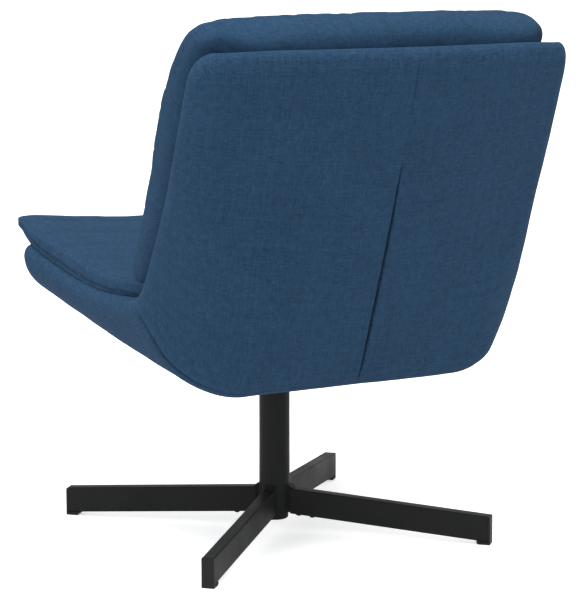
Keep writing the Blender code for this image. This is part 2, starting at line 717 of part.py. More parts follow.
def layer_mesh(first_row, last_row, reach, near_depth, far_depth):
    """A closed sheet between two depths; both faces are split along the same diagonals."""
    bm = bmesh.new()
    columns = range(-reach, reach + 1)
    grids = [
        [[bm.verts.new(shell_point(row, column, depth(row, column))) for column in columns]
         for row in range(first_row, last_row + 1)]
        for depth in (near_depth, far_depth)
    ]
    for grid in grids:
        for low, high in zip(grid, grid[1:]):
            for k in range(len(low) - 1):
                bm.faces.new((low[k], low[k + 1], high[k + 1]))
                bm.faces.new((low[k], high[k + 1], high[k]))
    near, far = grids

    def border(grid):
        right = [line[-1] for line in grid]
        left = [line[0] for line in grid]
        return grid[0] + right[1:] + grid[-1][-2::-1] + left[-2:0:-1]

    bridge_rings(bm, border(near), border(far))
    return bm


def around_frame(offset):
    """A depth that steps past the plywood inside its edges, and lies at its middle outside them."""
    middle = FRAME_DEPTH + FRAME_THICKNESS / 2

    def depth(row, column):
        inside = FRAME_END_ROWS <= row <= LAST_ROW - FRAME_END_ROWS and abs(column) < LAST_COLUMN
        return middle + (offset if inside else math.copysign(GAP / 2, offset))

    return depth


def ribbon_mesh(shrink, near_depth, far_depth):
    """A strip on the back's centre line, narrower towards its top; shrink draws all its sides in."""
    rows = [k for k, (stretch, share) in enumerate(ROWS) if stretch == "back" and 0 < share < SEAM_SLOT_TOP]
    bm = bmesh.new()
    rings = []
    for count, row in enumerate(rows):
        share = count / (len(rows) - 1)
        half = SEAM_SLOT_WIDTH / 2 * (1 - SEAM_SLOT_TAPER * share) - shrink
        ends = {0: shrink, len(rows) - 1: -shrink}
        points = [(side * half, *centre_point(row, depth))
                  for side, depth in ((-1, near_depth), (1, near_depth), (1, far_depth), (-1, far_depth))]
        rings.append([bm.verts.new((x, y, z + ends.get(count, 0.0))) for x, y, z in points])
    for low, high in zip(rings, rings[1:]):
        bridge_rings(bm, low, high)
    bm.faces.new(rings[0])
    bm.faces.new(rings[-1])
    return bm


def make_shell(seat):
    clear = FRAME_THICKNESS / 2 + GAP
    outer = finish_object("outer_upholstery", layer_mesh(
        0, LAST_ROW, LAST_COLUMN, lambda row, column: 0.0, around_frame(-clear),
    ), "blue_linen_weave", seat)
    tilt = seat_tilt_matrix(0.0)
    window = square_slab(WINDOW_SIZE, PLATE_CORNER, -WINDOW_REACH, 2 * WINDOW_REACH)
    combine(outer, finish_object("plate_window", window, None, seat, tilt), "DIFFERENCE")
    slot = ribbon_mesh(0.0, -DRILL_RUNOUT, SEAM_SLOT_DEPTH)
    combine(outer, finish_object("seam_slot", slot, None, seat), "DIFFERENCE")
    strip = ribbon_mesh(GAP / 2, SEAM_STRIP_INSET, SEAM_SLOT_DEPTH - GAP)
    finish_object("seam_strip", strip, "black_lining", seat)
    frame = finish_object("shell_frame", layer_mesh(
        FRAME_END_ROWS, LAST_ROW - FRAME_END_ROWS, LAST_COLUMN - 1, lambda row, column: FRAME_DEPTH,
        lambda row, column: FRAME_DEPTH + FRAME_THICKNESS,
    ), "plywood", seat)
    flange, thickness = TEE_NUT_FLANGE
    under, low = plate_matrix(), PLATE_THICKNESS + GAP
    high = low + FRAME_THICKNESS
    for name, radius, start in (
        ("barrel_drills", TEE_NUT_BARREL + GAP, low - DRILL_RUNOUT),
        ("flange_drills", flange + GAP, high - thickness - GAP),
    ):
        drills = plate_drills(radius, start, high + DRILL_RUNOUT)
        combine(frame, finish_object(name, drills, None, seat, under), "DIFFERENCE")
    finish_object("inner_upholstery", layer_mesh(
        0, LAST_ROW, LAST_COLUMN, around_frame(clear), lambda row, column: SHELL_THICKNESS,
    ), "blue_linen_weave", seat)
    cover = finish_object("dust_cover", square_slab(
        DUST_COVER_SIZE, DUST_COVER_CORNER, -DUST_COVER_THICKNESS - GAP, DUST_COVER_THICKNESS,
    ), "black_lining", seat, tilt)
    hole = turned([(0.0, -WINDOW_REACH), (DUST_COVER_HOLE, -WINDOW_REACH),
                   (DUST_COVER_HOLE, WINDOW_REACH), (0.0, WINDOW_REACH)])
    combine(cover, finish_object("cover_hole", hole, None, seat, tilt), "DIFFERENCE")


# --- cushions -----------------------------------------------------------------------------------

def pillow_mesh(cushion):
    """A crowned pillow whose sides bend up and whose underside lies between the shell's rims."""
    bm = bmesh.new()
    bmesh.ops.create_cube(bm, size=2.0)
    bmesh.ops.subdivide_edges(bm, edges=bm.edges, cuts=CUSHION_CELLS - 1, use_grid_fill=True)
    for vertex in bm.verts:
        x, y, z = vertex.co
        power = cushion["plan"][y > 0]
        plan = (abs(x) ** power + abs(y) ** power) ** (1 / power)
        scale = (plan ** EDGE_SQUARENESS + abs(z) ** EDGE_SQUARENESS) ** (-1 / EDGE_SQUARENESS)
        x, y, z = x * scale, y * scale, z * scale
        across = cushion["half_width"] * x
        middle, change = cushion["upper" if z > 0 else "lower"]
        thickness = middle + change * y
        if z < 0:
            nest_width, nest_reach = cushion["nest"]
            sideways = (abs(across) / nest_width) ** 4
            forwards = (max(-y, 0.0) * cushion["half_length"] / nest_reach) ** 4
            outside = sideways ** 2 + forwards ** 2 + 1.5 * sideways * forwards
            inside = math.sqrt(max(0.0, 1 - outside))
            thickness += cushion["fill"] * x * x
            edge = cushion["edge"] * max(0.2, 1 - cushion["thin_front"] * max(-y, 0.0) ** 3)
            thickness = thickness * inside + edge * (1 - inside)
        bend = cushion["bend"] + cushion["rise"] * max(y, 0.0) ** 2
        vertex.co = (across, cushion["half_length"] * y, thickness * z + bend * x * x)
    return bm


def make_cushion(name, cushion, seat):
    y, z = cushion["centre"]
    place = Matrix.LocRotScale(
        Vector((0.0, y, z)), Euler((math.radians(cushion["pitch"]), 0.0, 0.0)), None)
    finish_object(name, pillow_mesh(cushion), "blue_linen_weave", seat, place, smooth_angle=60.0)


def main():
    clear_scene()
    base, cage, seat = (frame_empty(name) for name in ("base_frame", "cage_frame", "seat_frame"))
    make_hub(base)
    make_column(base)
    make_legs(base)
    make_bushes(base)
    make_ball_cage(cage)
    make_spindle(seat)
    make_seat_plate(seat)
    make_shell(seat)
    make_cushion("seat_cushion", SEAT_CUSHION, seat)
    make_cushion("back_cushion", BACK_CUSHION, seat)


main()
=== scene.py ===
"""Looks of the swivel lounge chair: upholstery, cushions, powder-coated base and studio."""

import json
import math

import bmesh
import bpy
import numpy as np
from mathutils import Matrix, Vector, noise
from mathutils.bvhtree import BVHTree


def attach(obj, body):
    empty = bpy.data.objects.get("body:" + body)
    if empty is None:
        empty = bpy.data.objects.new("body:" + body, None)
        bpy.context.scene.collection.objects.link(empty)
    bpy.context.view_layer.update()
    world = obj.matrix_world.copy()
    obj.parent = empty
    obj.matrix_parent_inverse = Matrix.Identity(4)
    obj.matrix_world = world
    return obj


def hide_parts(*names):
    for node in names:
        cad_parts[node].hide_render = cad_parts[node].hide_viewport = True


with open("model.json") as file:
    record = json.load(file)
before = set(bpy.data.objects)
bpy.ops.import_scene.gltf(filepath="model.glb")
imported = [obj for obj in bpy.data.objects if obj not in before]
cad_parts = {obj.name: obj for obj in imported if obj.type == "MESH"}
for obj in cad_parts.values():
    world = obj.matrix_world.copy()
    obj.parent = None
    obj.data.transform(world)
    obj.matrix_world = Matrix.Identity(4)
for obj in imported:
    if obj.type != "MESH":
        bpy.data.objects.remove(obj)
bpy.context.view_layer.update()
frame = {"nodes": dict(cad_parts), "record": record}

SCENE = bpy.context.scene
SWIVEL_Y = -0.021            # from the shell's own middle to the post's axis

# --- small helpers ------------------------------------------------------------------------------


def smooth_step(share):
    share = np.clip(share, 0.0, 1.0)
    return share * share * (3 - 2 * share)


def unit(vectors):
    return vectors / np.maximum(np.linalg.norm(vectors, axis=-1, keepdims=True), 1e-12)


def ridge(away, middle, width):
    """A smooth ridge over a distance: 1 at its middle, and gone about two widths away."""
    return np.exp(-((away - middle) / width) ** 2)


def link(name, mesh):
    """A new object for a mesh, camera or light."""
    made = bpy.data.objects.new(name, mesh)
    SCENE.collection.objects.link(made)
    return made


def mesh_from(name, points, faces, smooth=True):
    mesh = bpy.data.meshes.new(name)
    mesh.from_pydata([tuple(p) for p in points], [], faces)
    mesh.update()
    if smooth:
        mesh.shade_smooth()
    return mesh


def soft_noise(points, size, seed=0.0):
    """Smooth noise of about -1..1 at each point, with features about size across."""
    shift = Vector((seed * 3.1, seed * 1.7, seed * 2.3))
    return np.array([noise.noise(Vector(p) / size + shift) for p in points]) * 1.6


# --- materials ----------------------------------------------------------------------------------


class Nodes:
    """A short way to write a node tree."""

    def __init__(self, name):
        self.material = bpy.data.materials.new(name)
        self.material.use_nodes = True
        self.tree = self.material.node_tree
        self.shader = self.tree.nodes["Principled BSDF"]

    def add(self, kind, inputs=None, **settings):
        node = self.tree.nodes.new(kind)
        for key, value in settings.items():
            setattr(node, key, value)
        for key, value in (inputs or {}).items():
            self.feed(node.inputs[key], value)
        return node

    def feed(self, socket, value):
        if isinstance(value, bpy.types.Node):
            value = value.outputs[0]
        if isinstance(value, bpy.types.NodeSocket):
            self.tree.links.new(value, socket)
        else:
            socket.default_value = value

    def math(self, operation, *values):
        return self.add("ShaderNodeMath", dict(enumerate(values)), operation=operation)

    def ramp(self, value, low, high, first=0.0, last=1.0):
        """first at low to last at high, and held beyond them."""
        return self.add("ShaderNodeMapRange", {
            "Value": value, "From Min": low, "From Max": high, "To Min": first, "To Max": last})

    def mix(self, share, first, second, blend="MIX"):
        node = self.tree.nodes.new("ShaderNodeMix")
        node.data_type, node.blend_type = "RGBA", blend
        self.feed(node.inputs[0], share)
        self.feed(node.inputs[6], first)
        self.feed(node.inputs[7], second)
        return node.outputs[2]

    def bump(self, height, strength, distance, normal=None):
        node = self.add("ShaderNodeBump", {"Height": height, "Strength": strength, "Distance": distance})
        if normal is not None:
            self.feed(node.inputs["Normal"], normal)
        return node.outputs["Normal"]


THREADS = 740.0              # per metre
YARN_DARK, YARN_LIGHT = (0.0049, 0.0140, 0.0305, 1), (0.0250, 0.0622, 0.1175, 1)
# painted shade, for the creases of seams and sewn rows
SEAM_SHADE = (0.002, 0.006, 0.014, 1)
# painted light and shade: the cloth's colour is scaled down where it faces down, and up where it faces up
UNDER_PAINTED_SHADE, UPPER_PAINTED_LIGHT = 0.82, 1.26          # of cloth that faces down, and of cloth that faces up


def weave_material(name):
    """Linen-look upholstery cloth: uneven warp and weft threads, laid along the UV map in metres."""
    n = Nodes(name)
    place = n.add("ShaderNodeUVMap", uv_map="weave")
    # threads wander slightly, as they do in cloth pulled over foam
    wander = n.add("ShaderNodeTexNoise", {"Vector": place, "Scale": 14.0, "Detail": 1.0})
    shift = n.add("ShaderNodeVectorMath", {0: wander.outputs["Color"], 1: (0.5, 0.5, 0.5)},
                  operation="SUBTRACT")
    shift = n.add("ShaderNodeVectorMath", {0: shift, "Scale": 0.006}, operation="SCALE")
    moved = n.add("ShaderNodeVectorMath", {0: place, 1: shift}, operation="ADD")
    split = n.add("ShaderNodeSeparateXYZ", {0: moved})
    across, along = split.outputs["X"], split.outputs["Y"]

    def thread_set(position, run, seed):
        """Each thread's number, its round profile, and its tone, which slubs change along it."""
        scaled = n.math("MULTIPLY", position, THREADS)
        number = n.math("FLOOR", scaled)
        inside = n.math("SUBTRACT", scaled, number)
        profile = n.math("SINE", n.math("MULTIPLY", inside, math.pi))
        own = n.add("ShaderNodeTexWhiteNoise", {"W": n.math("ADD", number, seed)}, noise_dimensions="1D")
        spot = n.add("ShaderNodeCombineXYZ", {
            "X": n.math("MULTIPLY", number, 5.37), "Y": n.math("MULTIPLY", run, 75.0), "Z": seed})
        slub = n.add("ShaderNodeTexNoise", {"Vector": spot, "Scale": 1.0, "Detail": 2.0, "Roughness": 0.6})
        tone = n.math("ADD", n.math("MULTIPLY", own.outputs["Value"], 0.14),
                      n.math("MULTIPLY", slub.outputs["Fac"], 1.25))
        return number, profile, n.math("SUBTRACT", tone, 0.19)

    warp_number, warp_profile, warp_tone = thread_set(across, along, 3.0)
    weft_number, weft_profile, weft_tone = thread_set(along, across, 41.0)
    over = n.math("PINGPONG", n.math("ADD", warp_number, weft_number), 1.0)
    tone = n.add("ShaderNodeMix", {0: over, 2: warp_tone, 3: weft_tone})
    profile = n.add("ShaderNodeMix", {0: over, 2: warp_profile, 3: weft_profile})
    cloudy = n.add("ShaderNodeTexNoise", {"Vector": place, "Scale": 9.0, "Detail": 3.0})
    level = n.math("ADD", n.math("MULTIPLY", tone, 0.88), n.math("MULTIPLY", cloudy.outputs["Fac"], 0.12))
    level = n.math("MULTIPLY", level, n.ramp(profile, 0.0, 0.7, 0.62, 1.0))
    colour = n.mix(n.ramp(level, 0.12, 0.80), YARN_DARK, YARN_LIGHT)
    # painted light and shade: cloth that faces up is painted lighter, and cloth that faces down darker, as
    # soft light from above would show them
    facing = n.add("ShaderNodeSeparateXYZ", {0: n.add("ShaderNodeNewGeometry").outputs["Normal"]})
    shade = n.math("MULTIPLY", n.ramp(facing.outputs["Z"], -0.9, 0.0, UNDER_PAINTED_SHADE, 1.0),
                   n.ramp(facing.outputs["Z"], 0.05, 0.65, 1.0, UPPER_PAINTED_LIGHT))
    grey = n.add("ShaderNodeCombineColor", {0: shade, 1: shade, 2: shade})
    colour = n.mix(1.0, colour, grey, "MULTIPLY")
    # painted shade in the creases of seams and sewn rows, from the seam attribute
    mark = n.add("ShaderNodeAttribute", attribute_name="seam")
    colour = n.mix(mark.outputs["Fac"], colour, SEAM_SHADE)
    n.feed(n.shader.inputs["Base Color"], colour)
    fuzz = n.add("ShaderNodeTexNoise", {"Vector": place, "Scale": 5200.0, "Detail": 1.0})
    height = n.math("ADD", n.math("MULTIPLY", profile, n.ramp(tone, 0.0, 1.0, 0.7, 1.2)),
                    n.math("MULTIPLY", fuzz.outputs["Fac"], 0.25))
    n.feed(n.shader.inputs["Normal"], n.bump(height, 0.55, 0.0007))
    n.shader.inputs["Roughness"].default_value = 0.92
    n.shader.inputs["Specular IOR Level"].default_value = 0.03
    n.shader.inputs["Sheen Weight"].default_value = 0.03
    n.shader.inputs["Sheen Roughness"].default_value = 0.45
    n.shader.inputs["Sheen Tint"].default_value = (0.45, 0.68, 1.0, 1.0)
    return n.material


def object_place(n):
    return n.add("ShaderNodeTexCoord").outputs["Object"]


def plain_material(name, dark, light, roughness, metallic=0.0, grain=900.0, depth=0.00012,
                   strength=0.25, spread=0.08, specular=0.5):
    """A finish whose tone, roughness and surface vary a little: powder coat, nylon, steel or lining."""
    n = Nodes(name)
    place = object_place(n)
    fine = n.add("ShaderNodeTexNoise", {"Vector": place, "Scale": grain, "Detail": 2.0})
    broad = n.add("ShaderNodeTexNoise", {"Vector": place, "Scale": 11.0, "Detail": 3.0})
    share = n.math("ADD", n.math("MULTIPLY", fine.outputs["Fac"], 0.45),
                   n.math("MULTIPLY", broad.outputs["Fac"], 0.55))
    n.feed(n.shader.inputs["Base Color"], n.mix(n.ramp(share, 0.3, 0.7), (*dark, 1), (*light, 1)))
    n.feed(n.shader.inputs["Roughness"],
           n.ramp(broad.outputs["Fac"], 0.3, 0.7, roughness - spread, roughness + spread))
    n.feed(n.shader.inputs["Normal"], n.bump(fine.outputs["Fac"], strength, depth))
    n.shader.inputs["Metallic"].default_value = metallic
    n.shader.inputs["Specular IOR Level"].default_value = specular
    return n.material


WEAVE = weave_material("blue_linen_weave_look")
COAT = plain_material("black_powder_coat_look", (0.0096, 0.0100, 0.0098), (0.0144, 0.0150, 0.0148), 0.45,
                      specular=0.035)
NYLON = plain_material("black_nylon_look", (0.009, 0.009, 0.0095), (0.014, 0.014, 0.0145), 0.58,
                       grain=2200.0, depth=0.0001, specular=0.10)
ACETAL = plain_material("white_acetal_look", (0.66, 0.65, 0.60), (0.76, 0.75, 0.71), 0.42)
STEEL = plain_material("bearing_steel_look", (0.50, 0.51, 0.52), (0.64, 0.65, 0.66), 0.20, 1.0)
ZINC = plain_material("zinc_steel_look", (0.44, 0.44, 0.42), (0.60, 0.60, 0.58), 0.34, 1.0)
LINING = plain_material("black_lining_look", (0.006, 0.006, 0.007), (0.016, 0.016, 0.017), 0.95,
                        grain=1500.0, depth=0.0004, strength=0.6, spread=0.03, specular=0.15)
PLY = plain_material("plywood_look", (0.34, 0.22, 0.12), (0.52, 0.37, 0.22), 0.6, grain=160.0)

LOOKS = {
    "black_powder_coat": COAT, "black_nylon": NYLON, "white_acetal": ACETAL, "bearing_steel": STEEL,
    "zinc_steel": ZINC, "black_lining": LINING, "plywood": PLY, "blue_linen_weave": WEAVE,
}

for part in frame["record"]["subparts"]:
    node = frame["nodes"][part["node"]]
    for place in node.material_slots:
        place.material = LOOKS[part["material_slot"]]

# --- the shell's surface ------------------------------------------------------------------------

# the shell's driving dimensions, as in the CAD: (y, z) points of its middle line and of its rim
HALF_WIDTH, THICKNESS = 0.318, 0.038
FRONT, REAR_CORNER = np.array((-0.342, 0.383)), np.array((0.257, 0.273))
BACK_BOW, TOP = np.array((0.368, 0.560)), np.array((0.437, 0.806))
CORNER_LEG, NOTCH_LEG = 0.042, 0.052
RIM_FRONT, RIM_DIP = np.array((-0.325, 0.460)), np.array((-0.070, 0.394))
RIM_NOTCH = np.array((0.150, 0.421))
RIM_WING_BOW, RIM_TOP = np.array((0.248, 0.588)), np.array((0.318, 0.780))
FRONT_RADIUS, TOP_RADIUS = 0.080, 0.030
SEAT_ROUNDING, REAR_ROUNDING, BACK_ROUNDING, BACK_BOW_SHARE = 0.075, 0.135, 0.042, 0.52
EDGE = 0.026                 # how far the edge roll reaches beyond the stretched faces
EDGE_CORNER = 0.028          # radius of the stretched faces' corners
TOP_ROLL, TOP_ROLL_LENGTH = 0.010, 0.060     # the back turns forward below its top edge
SAG_MIDDLE, SAG_FALL, SAG_CORNER = 0.0056, 0.0026, 0.0045    # of the soft top edge
RING_COUNT = 12              # faces around the edge roll
EDGE_CLOTH = 0.047           # how much cloth goes round the edge roll


def toward(start, end, length):
    return start + (end - start) / np.linalg.norm(end - start) * length


CORNER_IN = toward(REAR_CORNER, FRONT, CORNER_LEG)
CORNER_OUT = toward(REAR_CORNER, BACK_BOW, CORNER_LEG)
NOTCH_IN, NOTCH_OUT = toward(RIM_NOTCH, RIM_DIP, NOTCH_LEG), toward(RIM_NOTCH, RIM_WING_BOW, NOTCH_LEG)
CENTRE = {"seat": (FRONT, (FRONT + CORNER_IN) / 2, CORNER_IN),
          "corner": (CORNER_IN, REAR_CORNER, CORNER_OUT), "back": (CORNER_OUT, BACK_BOW, TOP)}
RIM = {"seat": (RIM_FRONT, RIM_DIP, NOTCH_IN), "corner": (NOTCH_IN, RIM_NOTCH, NOTCH_OUT),
       "back": (NOTCH_OUT, RIM_WING_BOW, RIM_TOP)}
BACK_END = 1 - TOP_RADIUS / (TOP[1] - REAR_CORNER[1])


def curve(points, t):
    """A point of the quadratic curve that three points draw."""
    p0, p1, p2 = points
    return p0 * (1 - t) ** 2 + p1 * 2 * t * (1 - t) + p2 * t ** 2


def curve_slope(points, t):
    p0, p1, p2 = points
    return (p1 - p0) * 2 * (1 - t) + (p2 - p1) * 2 * t


def section(stretch, share, depth, p):
    """Points of one cross-section, on its +X side: p is 0 in the middle, 1 where it starts to turn
    up and 2 at the rim."""
    slope = curve_slope(CENTRE[stretch], share)
    slope = slope / np.linalg.norm(slope)
    centre = curve(CENTRE[stretch], share) + np.array((-slope[1], slope[0])) * depth
    rim = curve(RIM[stretch], share / BACK_END if stretch == "back" else share)
    half, width, bow = HALF_WIDTH, REAR_ROUNDING, 0.0
    if stretch == "seat":
        width = SEAT_ROUNDING + (REAR_ROUNDING - SEAT_ROUNDING) * smooth_step(share)
        away = share * (REAR_CORNER[0] - FRONT[0])
        if away < FRONT_RADIUS:
            half -= FRONT_RADIUS - math.sqrt(FRONT_RADIUS ** 2 - (FRONT_RADIUS - away) ** 2)
    if stretch == "back":
        width = REAR_ROUNDING + (BACK_ROUNDING - REAR_ROUNDING) * smooth_step(share * 2)
        bow = BACK_BOW_SHARE * smooth_step(share * 2)
    half, width = half - depth, width - depth
    turn = np.clip(p - 1, 0, 1) * math.pi / 2
    x = (half - width) * np.minimum(p, 1) + width * np.sin(turn)
    share_in = bow * (x / half) ** 2 + (1 - bow) * (1 - np.cos(turn))
    yz = centre + (rim - centre) * share_in[:, None]
    return np.column_stack((x, yz))


def spread(first, last, count, near=0.0):
    """count + 1 values; near crowds them towards the first one."""
    t = np.linspace(0, 1, count + 1)
    return first + (last - first) * (t * (1 - near) + t * t * near)


SEAT_LENGTH = np.linalg.norm(CORNER_IN - FRONT)
SEAT_ROWS, CORNER_ROWS, BACK_ROWS = 100, 36, 120
rows = [("seat", s) for s in spread(EDGE / SEAT_LENGTH, 1, SEAT_ROWS, 0.6)[:-1]]
rows += [("corner", s) for s in spread(0, 1, CORNER_ROWS)[:-1]]
rows += [("back", s) for s in BACK_END - spread(0, BACK_END, BACK_ROWS, 0.5)[::-1]]
BACK_ROW = SEAT_ROWS + CORNER_ROWS // 2      # the middle of the corner
RELAXED_ROWS, RELAX_ROUNDS = slice(80, 160), 60              # around the corner
# columns of the right half, as arc length from the middle: fine at the slit, even outside it
SLIT_COLUMNS = np.array((0.0, 0.0007, 0.0013, 0.0018, 0.0023, 0.0028, 0.0034, 0.0042, 0.0055, 0.0075))
SIDE_COUNT = 140


def shell_grids():
    """The right half of both faces, row by row, with arc lengths across and along for the weave."""
    fine = np.linspace(0, 2, 401)
    ends = []
    for stretch, share in rows:
        line = section(stretch, share, 0.0, fine)
        steps = np.linalg.norm(np.diff(line, axis=0), axis=1)
        ends.append(np.concatenate(([0], np.cumsum(steps))))
    profile = np.array([section(s, t, 0.0, np.zeros(1))[0] for s, t in rows])
    run = np.concatenate(([0], np.cumsum(np.linalg.norm(np.diff(profile, axis=0), axis=1))))
    outer, inner, across = [], [], []
    for k, (stretch, share) in enumerate(rows):
        end = ends[k][-1] - EDGE
        away = min(run[k], run[-1] - run[k])
        if away < EDGE_CORNER:
            end -= EDGE_CORNER - math.sqrt(EDGE_CORNER ** 2 - (EDGE_CORNER - away) ** 2)
        start = SLIT_COLUMNS[-1]
        t = np.linspace(0, 1, SIDE_COUNT + 1)[1:]
        lengths = np.concatenate((SLIT_COLUMNS, start + (end - start) * t))
        p = np.interp(lengths, ends[k], fine)
        for grid, depth in ((outer, 0.0), (inner, THICKNESS)):
            grid.append(section(stretch, share, depth, p))
        across.append(lengths)
    return np.array(outer), np.array(inner), np.array(across), run


def relax(grid, rounds):
    """Even out the joints between stretches, keeping the first and last rows."""
    for _ in range(rounds):
        grid[1:-1] += 0.5 * (0.5 * (grid[:-2] + grid[2:]) - grid[1:-1])
    return grid


def mirrored(grid, sign=-1.0):
    """The whole width from the +X half: columns run from -X to +X."""
    flipped = grid[:, :0:-1].copy()
    if grid.ndim == 3:
        flipped[..., 0] *= sign
    else:
        flipped *= sign
    return np.concatenate((flipped, grid), axis=1)


def right_side(points):
    """The points as they would be on the +X side."""
    return np.column_stack((np.abs(points[:, 0]), points[:, 1:]))


def grid_normals(grid):
    by_row = np.gradient(grid, axis=0)
    by_column = np.gradient(grid, axis=1)
    return unit(np.cross(by_row, by_column))


def distance_to_path(points, path, normals=None):
    """Each point's distance from the path, and its share along it. With normals, the distance
    counts only along the surface."""
    best = np.full(len(points), 1e9)
    share = np.zeros(len(points))
    total = np.concatenate(([0], np.cumsum(np.linalg.norm(np.diff(path, axis=0), axis=1))))
    for k in range(len(path) - 1):
        a, b = path[k], path[k + 1]
        t = np.clip(((points - a) @ (b - a)) / ((b - a) @ (b - a)), 0, 1)
        apart = points - (a + t[:, None] * (b - a))
        if normals is not None:
            apart = apart - np.einsum("ij,ij->i", apart, normals)[:, None] * normals
        away = np.linalg.norm(apart, axis=1)
        near = away < best
        best = np.where(near, away, best)
        share = np.where(near, (total[k] + t * (total[k + 1] - total[k])) / total[-1], share)
    return best, share


def smooth_path(points, steps=6):
    """A smooth path through a few points."""
    points = np.array(points)
    padded = np.vstack((2 * points[0] - points[1], points, 2 * points[-1] - points[-2]))
    t = (np.arange(steps) / steps)[:, None]
    path = []
    for before, start, end, after in zip(padded, padded[1:], padded[2:], padded[3:]):
        bend = (2 * before - 5 * start + 4 * end - after) * t ** 2
        twist = (3 * start - before - 3 * end + after) * t ** 3
        path.extend(start + 0.5 * ((end - before) * t + bend + twist))
    return np.array(path + [points[-1]])


# the seam under the wing on the shell's +X side, from the notch down and round to the middle
CORNER_SEAM = smooth_path((
    (0.316, 0.128, 0.418), (0.312, 0.154, 0.388), (0.294, 0.177, 0.346), (0.260, 0.208, 0.310),
    (0.220, 0.226, 0.294), (0.150, 0.236, 0.289), (0.000, 0.238, 0.288)))
SLIT_BOTTOM, SLIT_TOP, SEAM_TOP = 0.296, 0.632, 0.800
SLIT_HALF_WIDTH = 0.0026
SLIT_DEPTH = 0.0055
STRIP_DEPTH = 0.0035         # deeper than this, the slit shows its strip
SEAM_DEPTH, SEAM_WIDTH, SEAM_MARK_WIDTH = 0.0042, 0.0030, 0.0023
BACK_PUFF, SIDE_PUFF = 0.0036, 0.0020        # how far the cloth stands up beside the seam
# the seam's strength at shares of its length
SEAM_SHARES = (0, 0.03, 0.05, 0.09, 0.15, 0.25, 0.33, 0.42, 0.55, 1.0)
SEAM_STRENGTHS = (0.05, 0.2, 0.6, 0.3, 0.75, 1.15, 0.9, 0.40, 0.20, 0.14)
# tension folds that fan out from the notch: degrees below level, length and depth
NOTCH_POINT = np.array((0.3165, 0.168, 0.462))
FOLDS = ((28, 0.075, 0.0010), (46, 0.090, 0.0012), (62, 0.070, 0.0009), (8, 0.060, 0.0008),
         (-18, 0.055, 0.0007))
FOLD_WIDTH, FOLD_REACH = 0.0035, 0.13


